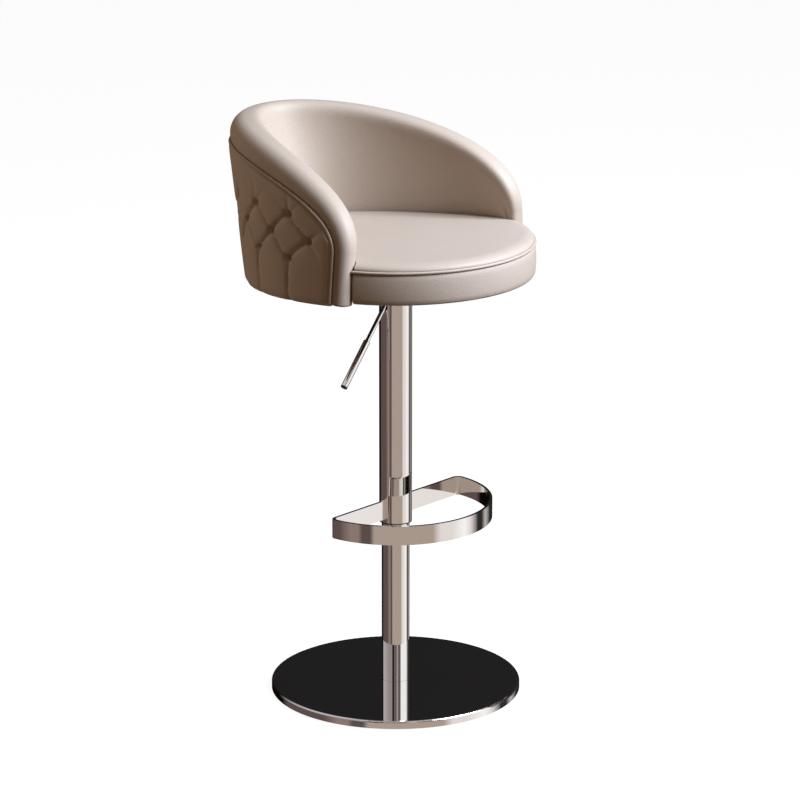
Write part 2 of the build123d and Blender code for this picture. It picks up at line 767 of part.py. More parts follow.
make_base()
make_spindle()
make_lift()
make_footrest()
make_plate()
make_lever()
strap_set = make_straps()
make_back()
make_seat()

os.makedirs("parts", exist_ok=True)
for name, shape in parts.items():
    export_step(shape, f"parts/{name}.step")
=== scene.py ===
import math

import bpy
import numpy as np
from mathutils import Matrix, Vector


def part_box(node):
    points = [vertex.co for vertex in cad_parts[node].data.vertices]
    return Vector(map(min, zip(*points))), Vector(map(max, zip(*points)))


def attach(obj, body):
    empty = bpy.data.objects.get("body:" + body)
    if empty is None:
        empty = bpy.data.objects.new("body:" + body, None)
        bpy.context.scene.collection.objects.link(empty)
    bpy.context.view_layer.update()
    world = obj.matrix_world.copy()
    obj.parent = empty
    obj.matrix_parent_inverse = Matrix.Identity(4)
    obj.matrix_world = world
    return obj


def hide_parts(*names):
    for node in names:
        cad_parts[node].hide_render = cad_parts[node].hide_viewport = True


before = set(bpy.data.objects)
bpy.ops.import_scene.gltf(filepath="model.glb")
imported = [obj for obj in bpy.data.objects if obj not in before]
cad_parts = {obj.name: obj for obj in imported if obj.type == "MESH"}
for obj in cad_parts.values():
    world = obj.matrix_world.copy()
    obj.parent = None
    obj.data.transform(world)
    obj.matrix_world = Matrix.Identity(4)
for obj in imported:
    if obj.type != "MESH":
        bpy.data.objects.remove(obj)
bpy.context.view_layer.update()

# Swivel bar stool: metres, +Z up, the sitter faces -Y, and the lever is on the sitter's right (-X).
scene = bpy.context.scene


# Floor pad: a moulded black rubber disc that the stool stands on. It is glued under the base weight,
# so that the steel neither slides nor scratches the floor.
def node(tree, kind, links=(), **settings):
    """Adds a shader node; links are (socket name or number of this node, output socket that feeds it)."""
    made = tree.nodes.new(kind)
    for name, value in settings.items():
        if hasattr(made, name):
            setattr(made, name, value)
        else:
            made.inputs[name.replace("_", " ")].default_value = value
    for socket, source in links:
        tree.links.new(source, made.inputs[socket])
    return made


def material(name, **sockets):
    """New material: returns it with its tree, its Principled shader and the object coordinates."""
    made = bpy.data.materials.new(name)
    made.use_nodes = True
    tree = made.node_tree
    shader = tree.nodes["Principled BSDF"]
    for socket, value in sockets.items():
        shader.inputs[socket.replace("_", " ")].default_value = value
    place = tree.nodes.new("ShaderNodeTexCoord").outputs["Object"]
    return made, tree, shader, place


def noise(tree, place, scale, detail=3.0):
    """Cloudy value from 0 to 1 over the coordinates, with about scale clouds to the metre."""
    return node(tree, "ShaderNodeTexNoise", [("Vector", place)], Scale=scale, Detail=detail).outputs["Fac"]


def ramp(tree, source, low, high):
    """Turns a 0 to 1 value into numbers from low to high."""
    made = node(tree, "ShaderNodeMapRange", [(0, source)])
    made.inputs["To Min"].default_value = low
    made.inputs["To Max"].default_value = high
    return made.outputs[0]


def tint(tree, share, first, second):
    """Mixes two colours by a share."""
    made = node(tree, "ShaderNodeMix", [(0, share)], data_type="RGBA")
    made.inputs[6].default_value = (*first, 1)
    made.inputs[7].default_value = (*second, 1)
    return made.outputs[2]


def bump(tree, shader, *layers):
    """Stacks bump layers, each (height output, depth in metres), on a shader."""
    normal = None
    for height, depth in layers:
        made = node(tree, "ShaderNodeBump", [("Height", height)], Strength=1.0, Distance=depth)
        if normal is not None:
            tree.links.new(normal, made.inputs["Normal"])
        normal = made.outputs[0]
    tree.links.new(normal, shader.inputs["Normal"])


def moulded(name, light, dark, rough, scale, depth):
    """Moulded or painted surface: a fine grain that shifts its colour, gloss and height together."""
    made, tree, shader, place = material(name)
    grain = noise(tree, place, scale, 4.0)
    tree.links.new(tint(tree, grain, (light,) * 3, (dark,) * 3), shader.inputs["Base Color"])
    tree.links.new(ramp(tree, grain, rough, rough + 0.12), shader.inputs["Roughness"])
    bump(tree, shader, (grain, depth))
    return made


def dress(made, *names):
    """Gives CAD nodes their material, smooth where their faces run on into each other."""
    for name in names:
        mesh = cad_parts[name].data
        mesh.materials.clear()
        mesh.materials.append(made)
        mesh.polygons.foreach_set("use_smooth", np.ones(len(mesh.polygons), bool))
        mesh.set_sharp_from_angle(angle=math.radians(28))


dress(moulded("rubber", 0.03, 0.05, 0.7, 400, 0.0001), "floor_pad")


# Base weight, column flange and bolts: turned mild steel, left bare because the cover hides it.
# The flange is welded round the foot of the column and bolted down onto the weight.
def metal(name, colour, low, high, depth=0.0, stretch=(1.0, 1.0, 1.0)):
    """Bare or plated metal; stretch packs the polishing marks closer along an axis, so they run round it."""
    made, tree, shader, place = material(name, Metallic=1.0)
    turned = node(tree, "ShaderNodeMapping", [("Vector", place)], Scale=stretch)
    marks = noise(tree, turned.outputs[0], 90, 5.0)
    shade = tuple(c * 0.94 for c in colour)
    tree.links.new(tint(tree, noise(tree, place, 8), colour, shade), shader.inputs["Base Color"])
    tree.links.new(ramp(tree, marks, low, high), shader.inputs["Roughness"])
    if depth:
        bump(tree, shader, (marks, depth))
    return made


bare_steel = metal("bare_steel", (0.5, 0.5, 0.51), 0.28, 0.42, 0.00002, (1, 1, 14))
dress(bare_steel, "base_weight", "column_flange", "flange_bolts")

# Base cover: one steel disc, spun to a shallow dish and polished before it is chromed.
# It drops over the weight and stays on by its own fit round the column.
dress(metal("cover_chrome", (0.93, 0.92, 0.92), 0.012, 0.03), "base_cover")

# Lower column: a chromed steel tube that stands on the flange, with a plate across it inside.
# A ball thrust race lies on the plate, and a nylon guide is pressed into the tube's mouth.
chrome = metal("chrome", (0.93, 0.92, 0.91), 0.012, 0.035)
nylon = moulded("nylon", 0.025, 0.036, 0.45, 700, 0.00004)
dress(chrome, "lower_tube")
dress(bare_steel, "rod_plate", "thrust_bearing")
dress(nylon, "top_guide")

# Gas lift: a black enamelled cylinder upside down on its polished rod, which the clip holds to the plate.
# Its upper end tapers into the steel socket under the seat, with the valve button on top.
black_paint = moulded("black_paint", 0.02, 0.03, 0.35, 900, 0.00003)
dress(black_paint, "gas_cylinder")
dress(chrome, "piston_rod")
dress(nylon, "piston", "rod_guide")
dress(bare_steel, "rod_clip", "taper_socket", "valve_button")

# Sliding column and footrest: a wider chromed tube fixed under the seat, with a nylon bush in its mouth.
# The footrest is one flat strip, bent to a half round, chromed and welded to the tube.
dress(chrome, "upper_tube", "footrest_band")
dress(nylon, "slide_bush")

# Seat plate: a pressed and powder-coated steel plate welded round the socket.
# Four bolts run up through it into tee nuts that are driven into the seat board.
dress(black_paint, "seat_plate")
dress(bare_steel, "plate_bolts", "tee_nuts")

# Lift lever: a chromed rod, cranked where it leaves the bracket, with a thicker plated grip pushed on.
# It tips on a pin between the bracket's two cheeks, and a nylon cap closes the grip.
dress(bare_steel, "lever_bracket", "lever_pin")
dress(chrome, "lever_rod", "lever_grip")
dress(nylon, "grip_cap")

# Seat board and back frame: birch plywood, the board sawn from a sheet and the frame bent in a press.
# Both carry the foam and leather, which are glued and stapled to them.
wood, tree, shader, place = material("plywood", Roughness=0.65)
layers = node(
    tree, "ShaderNodeTexWave", [("Vector", place)], Scale=210.0, Distortion=1.5, bands_direction="Z",
)
plies = tint(tree, layers.outputs["Fac"], (0.55, 0.37, 0.2), (0.4, 0.25, 0.12))
tree.links.new(plies, shader.inputs["Base Color"])
bump(tree, shader, (noise(tree, place, 300), 0.0001))
dress(wood, "seat_board", "back_frame")

# Angle straps: bent steel strips, painted black, that tie the back frame to the seat board.
# Wood screws hold them at both ends.
dress(black_paint, "back_straps")
dress(bare_steel, "strap_screws")

# Inner cover: smooth leatherette over foam on the inside of the tub. The tub is an ellipse in plan whose
# back leans out and whose arms lean in. The cover runs on over the rim into the roll, and its lower edge
# is turned in behind the seat and stapled to the frame.
seat_z = 0.725
tub_half_width = 0.232
tub_half_depth = 0.327
tub_middle_y = -0.058
arms_lean = 0.08
back_lean = 0.24
arm_angle = 93.0
nose_z = 0.803
nose_r = 0.016
rim_rise = 0.135
roll_growth = 0.013
foot_z = seat_z - 0.001
frame_face = 0.0235
foam_depth = 0.026
foam_end = 91.0


def rim_share(angle):
    """Share of the rim's rise at an angle: a full oval, 0 at an arm's nose and 1 in the back's middle."""
    return (1 - np.minimum(np.abs(angle) / arm_angle, 1) ** 2.6) ** (1 / 2.25)


def roll_radius(angle):
    """Radius of the roll: thin at the arms' noses, and growing with the rim's rise towards the back."""
    return nose_r + roll_growth * rim_share(angle)


def wall(angle, z, inset):
    """Points of the tub by angle in degrees from the middle of the back, height and depth below the outside.

    An ellipse, sine across and cosine to the back; with the height it narrows across and deepens to the back.
    """
    rise = z - seat_z
    turn = np.radians(angle)
    x = (tub_half_width - arms_lean * rise - inset) * np.sin(turn)
    y = (tub_half_depth + back_lean * rise - inset) * np.cos(turn) + tub_middle_y
    return np.stack(np.broadcast_arrays(x, y, z), -1)


def rim_place(u):
    """Angle and height of the roll's centre, for u from -2 at one arm's foot to 2 at the other's.

    Between -1 and 1 the angle is a sine of u along the rim; beyond, the roll drops evenly to the foot.
    """
    angle = arm_angle * np.sin(np.radians(90 * np.clip(u, -1, 1)))
    drop = np.maximum(np.abs(u) - 1, 0)
    return angle, nose_z + rim_rise * rim_share(angle) * (drop == 0) + (foot_z - nose_z) * drop


def unit(v):
    """Vectors of length one."""
    return v / np.linalg.norm(v, axis=-1, keepdims=True)


def rim_centre(u):
    """Middle of the roll: one radius below the tub's outer face."""
    angle, z = rim_place(u)
    return wall(angle, z, roll_radius(angle))


def rim_frame(u):
    """Centre of the roll, the wall's outward direction and the direction away from the wall's edge.

    Outward is square to the wall's run round and up the tub, and away is square to that and to the rim.
    """
    along = unit(rim_centre(np.minimum(u + 0.002, 2)) - rim_centre(np.maximum(u - 0.002, -2)))
    angle, z = rim_place(u)
    turn = wall(angle + 0.5, z, 0) - wall(angle - 0.5, z, 0)
    up = wall(angle, z + 0.001, 0) - wall(angle, z - 0.001, 0)
    out = unit(np.cross(turn, up))
    out = out * np.sign(np.sum(out * (wall(angle, z, 0) - wall(angle, z, 0.01)), -1, keepdims=True))
    out = unit(out - along * np.sum(out * along, -1, keepdims=True))
    return rim_centre(u), out, np.cross(along, out)


def roll_reach(turn):
    """Reach of the roll's skin as a share of its radius, by the turn from outside over the crest to inside.

    Round outside; between crest and inner side a fuller oval, so that the inner cover runs on over the rim.
    """
    full = 3.4
    oval = (np.abs(np.cos(turn)) ** full + np.abs(np.sin(turn)) ** full) ** (-1 / full)
    return np.where((turn > math.pi / 2) & (turn < math.pi), oval, 1.0)


def ease(share):
    """Smooth step from 0 to 1, level at both ends: three squares less two cubes."""
    return share * share * (3 - 2 * share)


def skin(name, rings):
    """Closed mesh over rings of points, each joined to the next, the first and last closed at their middle.

    rings has the shape (rings, points, 3), or (pieces, rings, points, 3) for several like pieces in one mesh.
    """
    rings = rings.reshape(-1, *rings.shape[-3:])
    pieces, count, around = rings.shape[:3]
    index = np.arange(rings.size // 3).reshape(pieces, count, around)
    after = np.roll(index, -1, 2)
    quads = np.stack([index[:, :-1], after[:, :-1], after[:, 1:], index[:, 1:]], -1).reshape(-1, 4)
    poles = index.size + np.arange(2 * pieces).reshape(pieces, 2, 1) + 0 * index[:, :1]
    low = np.stack([poles[:, 0], after[:, 0], index[:, 0]], -1).reshape(-1, 3)
    high = np.stack([poles[:, 1], index[:, -1], after[:, -1]], -1).reshape(-1, 3)
    points = np.concatenate([rings.reshape(-1, 3), rings[:, [0, -1]].mean(2).reshape(-1, 3)])
    mesh = bpy.data.meshes.new(name)
    mesh.from_pydata(points.tolist(), [], quads.tolist() + low.tolist() + high.tolist())
    a, b, c, d = (points[quads[:, k]] for k in range(4))
    if np.sum((a - points[0]) * np.cross(c - a, d - b)) < 0:
        mesh.flip_normals()
    mesh.polygons.foreach_set("use_smooth", np.ones(len(mesh.polygons), bool))
    mesh.update()
    made = bpy.data.objects.new(name, mesh)
    scene.collection.objects.link(made)
    return made


def leather(name, light, dark):
    """Leatherette: pebbled grain about 1 mm across, soft drift of tone and gloss, a bloom at a low angle."""
    made, tree, shader, place = material(name, Specular_IOR_Level=0.3, Sheen_Weight=0.08, Sheen_Roughness=0.4)
    tree.links.new(tint(tree, noise(tree, place, 14), light, dark), shader.inputs["Base Color"])
    tree.links.new(ramp(tree, noise(tree, place, 60), 0.42, 0.56), shader.inputs["Roughness"])
    cells = node(tree, "ShaderNodeTexVoronoi", [("Vector", place)], Scale=780.0, feature="SMOOTH_F1")
    bump(tree, shader, (cells.outputs["Distance"], 0.00022), (noise(tree, place, 420), 0.00025))
    return made


cover_leather = leather("cover_leather", (0.45, 0.367, 0.293), (0.42, 0.337, 0.265))


def upholster(piece, *stands_for):
    """A leather piece of the seat: its finish, its body and the CAD nodes it stands for."""
    piece.data.materials.append(cover_leather)
    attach(piece, "seat")
    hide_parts(*stands_for)
    return piece


def pad_depth(angle):
    """Depth of the inner cover's face at the seat: a nose's width and the foam, which thins out there."""
    foam = np.clip(1 - (np.abs(angle) / foam_end) ** 6, 0, 1) ** 1.5
    return 2 * nose_r + foam_depth * foam


pad_u = np.linspace(-1, 1, 281)
pad_angle, pad_top = rim_place(pad_u)
pad_radius = roll_radius(pad_angle)
pad_low = seat_z + 0.002
pad_hem = 0.008
under = np.array([0.0, 0.3, 0.6, 0.85])[:, None]
low_depth = pad_depth(pad_angle)
depth = frame_face + (low_depth - frame_face) * (0.9 + 0.1 * under**0.5)
turned_in = wall(pad_angle, pad_low + 0.006 * under**2, depth)
share = np.linspace(0, 1, 60)[:, None]
puff = 0.0025 * np.sin(math.pi * share) ** 2 * np.minimum((pad_top - pad_low) / 0.2, 1)
depth = low_depth + (2 * pad_radius - low_depth) * share**2 + puff
inside = wall(pad_angle, pad_low + pad_hem + (pad_top - pad_low - pad_hem) * share, depth)
centre, out, away = rim_frame(pad_u)
joint = centre - out * pad_radius[:, None]
inside = inside + (joint - inside[-1]) * ease(share)[..., None]
turn = math.pi - np.array([0.1, 0.2, 0.3, 0.5])[:, None, None]
sunk = pad_radius[:, None] * (roll_reach(turn) - np.array([0.004, 0.015, 0.04, 0.2])[:, None, None])
tucked = centre + sunk * (out * np.cos(turn) + away * np.sin(turn))
behind = wall(pad_angle, np.stack([pad_top - 0.012, 0 * pad_top + pad_low]), frame_face)
rings = np.concatenate([turned_in, inside, tucked, behind]).swapaxes(0, 1)
upholster(skin("inner_cover", rings), "back_pad")

# Rolled rim: a foam roll in a leather sleeve along the top of the tub and down the front of each arm.
# It is thicker behind, its edges lap under the piping and the inner cover, and its ends are drawn together.
roll_chord = 0.008
lap_outside = 0.1
laps = 0.3
rim_u = np.concatenate([np.linspace(-2, -1, 30)[:-1], np.linspace(-1, 1, 281), np.linspace(1, 2, 30)[1:]])


def tube(spine, side, rise, radius, turns):
    """Rings round a spine: radius times the cosine of a turn to the side, its sine along the rise."""
    across = np.cos(turns)[..., None] * side[:, None] + np.sin(turns)[..., None] * rise[:, None]
    return spine[:, None] + radius * across


def drawn_ends(rings, tuck):
    """Closes a tube with three rings at each end that shrink to a point and bulge out by tuck."""
    ends = []
    for ring, after in ((rings[0], rings[1]), (rings[-1], rings[-2])):
        middle = ring.mean(0)
        push = unit(middle - after.mean(0)) * tuck
        t = np.array([0.5, 1.0, 1.35])[:, None, None]
        ends.append(middle + (ring - middle) * np.cos(t) + push * np.sin(t))
    return np.concatenate([ends[0][::-1], rings, ends[1]])


centre, out, away = rim_frame(rim_u)
radius = roll_radius(rim_place(rim_u)[0])[:, None]
dip = np.arcsin(roll_chord / radius)
turns = -dip - lap_outside + (math.pi + 2 * dip + laps) * np.linspace(0, 1, 48)
reach = (radius * roll_reach(turns))[..., None]
rings = drawn_ends(tube(centre, out, away, reach, turns), 0.003)
upholster(skin("rim_cover", rings), "rim_roll")

# Rim piping: a cord in a strip of the same leather, sewn in under the roll round the outside of the tub.
# It follows the roll from one arm's foot over the back to the other's.
welt_r = 0.0025
welt_room = 0.0006
circle = np.linspace(0, 2 * math.pi, 16, endpoint=False)[None]
sink = roll_chord + welt_r * 0.4
stand = np.sqrt((radius + welt_r + welt_room) ** 2 - sink**2)
rings = tube(centre + out * stand - away * sink, out, away, welt_r, circle)
upholster(skin("rim_cord", drawn_ends(rings, 0.002)), "rim_piping")

# Tufted cover: leather over foam on the outside of the tub, drawn in by three rows of buttons. Diamond
# folds run from button to button, pleats fall from the lowest row to the foot, and short folds rise above
# the top row; the edges are sewn in under the piping and stapled under the foot.
step = 8.25
row_z = (0.781, 0.818, 0.853)
edge_gap = 0.0006
pit = 0.0092
crown = 0.0062
edge_u = np.linspace(-1.5, 1.5, 1201)
to_nose = 200
edge_centre, _, edge_away = rim_frame(edge_u)
edge_point = edge_centre - edge_away * (roll_chord + edge_gap)
edge_rise = edge_point[:, 2] - seat_z
edge_radius = roll_radius(rim_place(edge_u)[0])
edge_x = edge_point[:, 0] / (tub_half_width - arms_lean * edge_rise - edge_radius)
edge_y = (edge_point[:, 1] - tub_middle_y) / (tub_half_depth + back_lean * edge_rise - edge_radius)
edge_angle = np.degrees(np.arctan2(edge_x, edge_y))
panel_end = edge_angle[-1]
order = to_nose + np.argsort(edge_angle[to_nose:-to_nose])


def fold(d):
    """Depth across a fold: a broad valley between two pillows with a sharp crease at its bottom."""
    d = np.clip(np.abs(d), 0, 1)
    return 0.58 * (1 - np.sqrt(1 - (1 - d) ** 3)) + 0.42 * np.exp(-d / 0.06)


def tuft_depth(angle, z):
    """Depth of the tufting, 1 at a button and 0 on a pillow's crown.

    With c the columns and w the rows in steps, folds lie on odd c + w and odd c - w between the rows 0 and 2,
    steeper above than below; past those rows they die away, and upright pleats run on from the outer buttons.
    """
    c = angle / step
    w = np.interp(z, (0.70, *row_z, 0.93), (-2.0, 0.0, 1.0, 2.0, 4.0))
    past = np.maximum(np.abs(w - 1) - 1, 0)
    stray = 0.06 * np.sin(2.3 * c + 1.7 * w) * np.sin(math.pi * w)
    slant = 0.08 * np.sin(2.3 * c + 1.7) * np.minimum(past, 1)
    c = c + stray + slant
    p = (c + w) % 2 - 1
    q = (c - w) % 2 - 1
    one = fold(p * np.where(p > 0, 1.35, 0.85)) * (0.6 + 0.4 * (1 - np.abs(q)) ** 3)
    two = fold(q * np.where(q < 0, 1.35, 0.85)) * (0.6 + 0.4 * (1 - np.abs(p)) ** 3)
    pleat = 0.58 * fold(c % 2 - 1) * np.where(w > 1, np.exp(-past / 0.5), 1 - 0.25 * np.minimum(past, 1))
    near = np.clip((0.28 - np.hypot(p, q) / math.sqrt(2)) / 0.2, 0, 1)
    fading = np.exp(-past / np.where(w > 1, 0.28, 0.12))
    drawn = np.maximum(np.maximum(one, two), ease(near)) * fading
    smooth = np.clip((10.7 - np.abs(angle / step)) / 0.7, 0, 1)
    return np.maximum(drawn, pleat * np.minimum(past / 0.02, 1)) * smooth


def panel_foot(angle):
    """Height of the back's lower edge, which falls by 85 mm to the metre from the arms to the rear."""
    nose = wall(arm_angle, seat_z, nose_r)[1]
    return foot_z - 0.085 * (wall(angle, seat_z, 0)[..., 1] - nose)


def plump(piece, held, swell, most):
    """Cloth simulation of a stuffed cover, whose filling presses it out by swell.

    held gives each point's grip, from 0 free to 1 fixed, and no point moves further than most.
    """
    mesh = piece.data
    moments = 16
    start = np.empty(3 * len(mesh.vertices))
    mesh.vertices.foreach_get("co", start)
    grip = piece.vertex_groups.new(name="grip")
    for level in np.unique(held):
        grip.add(np.flatnonzero(held == level).tolist(), float(level), "REPLACE")
    filling = piece.modifiers.new("filling", "CLOTH")
    cloth = filling.settings
    cloth.vertex_group_mass = "grip"
    cloth.quality = 4
    cloth.mass = 0.2
    cloth.tension_stiffness = 25
    cloth.compression_stiffness = 25
    cloth.bending_stiffness = 4
    cloth.use_pressure = True
    cloth.uniform_pressure_force = swell
    cloth.effector_weights.gravity = 0
    filling.collision_settings.use_collision = False
    filling.point_cache.frame_end = moments
    for moment in range(1, moments + 1):
        scene.frame_set(moment)
    settled = np.empty_like(start)
    piece.evaluated_get(bpy.context.evaluated_depsgraph_get()).data.vertices.foreach_get("co", settled)
    piece.modifiers.remove(filling)
    piece.vertex_groups.clear()
    scene.frame_set(1)
    move = (settled - start).reshape(-1, 3)
    far = np.linalg.norm(move, axis=1, keepdims=True)
    mesh.vertices.foreach_set("co", start + (move * np.minimum(1, most / np.maximum(far, 1e-9))).ravel())
    mesh.update()


columns = np.linspace(-panel_end, panel_end, 350)
foot = panel_foot(columns)
top = np.interp(columns, edge_angle[order], edge_point[order, 2])
hem = 0.05
low_rows = np.linspace(0, hem, 5)[:-1]
mid_rows = np.linspace(hem, 0.95, 58)
high_rows = np.linspace(0.95, 1, 5)[1:]
share = np.concatenate([low_rows, mid_rows, high_rows])[:, None]
z = foot + (top - foot) * share
depth = tuft_depth(columns + 0 * z, z)
from_edge = np.minimum(top - z, (panel_end - np.abs(columns)) * math.radians(0.3))
top_turn = 0.016
foot_turn = 0.012
top_inset = 0.0045
foot_inset = 0.0052
pull_top = 1 - np.clip(from_edge / top_turn, 0, 1)
pull_foot = 1 - np.clip((z - foot) / foot_turn, 0, 1)
inset = pit * depth - crown * (1 - depth)
inset += (top_inset - inset) * (1 - np.sqrt(1 - pull_top**2)) ** 1.2
inset += (foot_inset - inset) * (1 - np.sqrt(1 - pull_foot**2))
face = wall(columns, z, inset)
face[:5, :, 2] -= 0.003 * (1 - depth[5]) * (1 - share[:5] / share[5])
back = wall(columns, np.stack([top - 0.002, foot + 0.004, foot]), np.array([[0.0104], [0.0104], [0.0098]]))
tufted_cover = skin("tufted_cover", np.concatenate([face, back]).swapaxes(0, 1))
held = np.maximum(depth, np.maximum(pull_top, pull_foot))
held = np.concatenate([np.round(np.clip(held * 1.8, 0, 1), 1), np.ones(back.shape[:2])])
held[:, [0, -1]] = 1
plump(tufted_cover, np.concatenate([held.T.ravel(), [1, 1]]), 4.0, 0.003)
finer = tufted_cover.modifiers.new("finer", "SUBSURF")
finer.levels = 1
finer.render_levels = 1
upholster(tufted_cover, "tufted_panel")

# Tuft buttons: small leather-covered domes at the bottom of the tufts.
# A twine through the frame draws each one down into the foam.
button_sink = 0.0078
even = np.arange(-10, 11, 2) * step
odd = np.arange(-9, 10, 2) * step
at = np.concatenate([even, odd, odd])
height = np.repeat([row_z[1], row_z[0], row_z[2]], [len(even), len(odd), len(odd)])
bed = wall(at, height, button_sink)
turn = unit(wall(at + 0.5, height, 0) - wall(at - 0.5, height, 0))
up = unit(wall(at, height + 0.001, 0) - wall(at, height - 0.001, 0))
lift = np.cross(turn, up)
lift = lift * np.sign(np.sum(lift * (bed - wall(at, height, 0.02)), -1, keepdims=True))
dome = np.array([
    (0.0012, 0.0033), (0.0026, 0.0028), (0.0039, 0.0018),
    (0.0046, 0.0004), (0.0046, -0.0008), (0.003, -0.0012),
])
spin = np.linspace(0, 2 * math.pi, 20, endpoint=False)[:, None]
round_about = turn[:, None] * np.cos(spin) + up[:, None] * np.sin(spin)
flank = dome[:, :1, None] * round_about[:, None]
rings = bed[:, None, None] + flank + dome[:, 1:, None] * lift[:, None, None]
upholster(skin("tuft_domes", rings), "tuft_buttons")

# Seat cushion: moulded foam on the board, round in front, with a round notch about each arm's nose.
# Its leather cover has a side band and a crowned top, sewn together along the piping, and is stapled
# under the board.
seat_r = 0.231
seat_gap = 0.002
pocket_inset = 0.0138
seam_inset = 0.0034
seam_z = 0.7806
welt_z = 0.778
side_inset = 0.001
edge_round = 0.003
crown_z = seat_z + 0.064
nose_x, nose_y = wall(arm_angle, crown_z, nose_r)[:2]
heart = np.array([0.0, -0.155])
board_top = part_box("seat_board")[1][2]


def seat_plan(ahead, beside):
    """Plan of the seat: a round front drawn in by ahead, then a round notch about each arm's nose.

    The notches and the rear, which follows the inside of the tub, are drawn in by beside. The front ends
    where its circle meets the notch's, by the cosine rule.
    """
    radius = seat_r - ahead
    notch = nose_r + seat_gap + beside
    far = math.hypot(nose_x, nose_y)
    apart = math.acos((radius**2 + far**2 - notch**2) / (2 * radius * far))
    first = math.atan2(nose_y, nose_x) - apart
    swing = np.linspace(first, -math.pi - first, 200)
    front = radius * np.stack([np.cos(swing), np.sin(swing)], -1)
    nose = np.array([-nose_x, nose_y])
    turn = np.linspace(math.atan2(*(front[-1] - nose)[::-1]), 0, 22)[1:-1]
    cut_out = nose + notch * np.stack([np.cos(turn), np.sin(turn)], -1)
    bends = np.linspace(-arm_angle, arm_angle, 220)
    depth = pad_depth(bends) + seat_gap + beside
    rear = np.stack([wall(bends, crown_z, depth)[:, 0], wall(bends, seat_z, depth)[:, 1]], -1)
    plan = np.concatenate([front, cut_out, rear, cut_out[::-1] * [-1, 1]])
    for _ in range(3):
        plan = 0.5 * plan + 0.25 * (np.roll(plan, 1, 0) + np.roll(plan, -1, 0))
    return plan


def level(plan, z):
    """Points of a plan at a height, or each at its own height."""
    return np.concatenate([plan, np.broadcast_to(z, len(plan))[:, None]], 1)


pocket = seat_plan(pocket_inset, pocket_inset)
rings = [level(heart + (pocket - heart) * k, board_top + 0.0004) for k in (0.05, 0.4, 0.8, 1.0)]
band = [(pocket_inset, 0.7262), (0.012, 0.7254), (0.006, 0.7252), (0.003, 0.7258), (0.0012, 0.7285)]
band += [(0.0004, 0.735), (0.0, 0.745), (0.0001, 0.756), (0.0006, 0.766), (0.0016, 0.7725), (0.0032, 0.7752)]
seam = [(0.0052, 0.7768), (0.0056, welt_z), (0.0052, 0.7792), (seam_inset, seam_z)]
for inset, height in band:
    rings.append(level(seat_plan(inset, inset * inset / pocket_inset), height))
for inset, height in seam:
    rings.append(level(seat_plan(inset, side_inset), height))


def crest(plan):
    """Rise of the seat's top above its seam: about 11 mm in front, sinking smoothly to 4 mm at the back."""
    back = np.clip((plan[:, 1] + 0.08) / 0.28, 0, 1)
    return 0.0108 - 0.007 * ease(back)


def shoulder(plan):
    """Share of the crest reached across the rounded front edge, a quarter oval 22 mm wide."""
    short = 1 - np.clip((seat_r - seam_inset - np.hypot(*plan.T)) / 0.022, 0, 1)
    return np.sqrt(1 - short**2)


for share in (0.02, 0.08, 0.2, 0.4, 0.65, 1.0):
    plan = seat_plan(seam_inset + edge_round * share, side_inset + edge_round * share)
    side = math.sqrt(1 - (1 - share) ** 2)
    rings.append(level(plan, seam_z + crest(plan) * np.minimum(shoulder(plan), side)))
edge = rings[-1][:, :2]
for share in np.linspace(0, 0.992, 50)[1:] ** 1.2:
    flat = edge + (heart - edge) * share
    bulge = np.clip(1 - (flat[:, 0] / 0.205) ** 2 - ((flat[:, 1] - 0.01) / 0.22) ** 2, 0, 1)
    blend = min(share / 0.3, 1)
    swell = 0.002 * bulge * ease(blend)
    rings.append(level(flat, seam_z + crest(flat) * shoulder(flat) + swell))
upholster(skin("seat_cover", np.array(rings)), "seat_cushion")

# Seat piping: a leather-covered cord in the seam between the seat's band and its top.
# It runs round the front from one arm to the other.
half = math.acos((nose_y - nose_r - seat_gap) / -seat_r)
turns = np.linspace(-math.pi / 2 - half, -math.pi / 2 + half, 160)
reach = np.stack([np.cos(turns), np.sin(turns), 0 * turns], -1)
rise = np.broadcast_to([0.0, 0.0, 1.0], reach.shape)
rings = tube(reach * (seat_r - welt_r) + welt_z * rise, reach, rise, welt_r, circle)
upholster(skin("seat_welt", drawn_ends(rings, 0.001)), "seat_piping")

# Lining: a thin black non-woven sheet stretched under the seat board and stapled along its edge.
# It closes the seat from below and puckers slightly between the staples.
lining_inset = 0.0145
lining_z = 0.72525
lining_thick = 0.0004
staple_gap = 0.03
lining, tree, shader, place = material("lining", Roughness=0.9)
threads = node(tree, "ShaderNodeTexWave", [("Vector", place)], Scale=500.0, bands_direction="X")
picks = node(tree, "ShaderNodeTexWave", [("Vector", place)], Scale=500.0, bands_direction="Y")
crossings = [(0, threads.outputs[1]), (1, picks.outputs[1])]
weave = node(tree, "ShaderNodeMath", crossings, operation="MULTIPLY").outputs[0]
tree.links.new(tint(tree, weave, (0.012, 0.012, 0.012), (0.03, 0.03, 0.03)), shader.inputs["Base Color"])
bump(tree, shader, (weave, 0.0001))
cut = seat_plan(lining_inset, lining_inset)
span = np.linalg.norm(np.roll(cut, -1, 0) - cut, axis=1)
pucker = np.sin(2 * math.pi * np.cumsum(span) / staple_gap)
sheet = [(k, lining_z + 0.0002 * pucker * k**6) for k in np.linspace(0.04, 1, 20)]
sheet += [(k, z + lining_thick) for k, z in sheet[::-1]]
rings = np.array([level(heart + (cut - heart) * k, z) for k, z in sheet])
dust_sheet = skin("dust_sheet", rings)
dust_sheet.data.materials.append(lining)
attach(dust_sheet, "seat")
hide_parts("dust_cover")

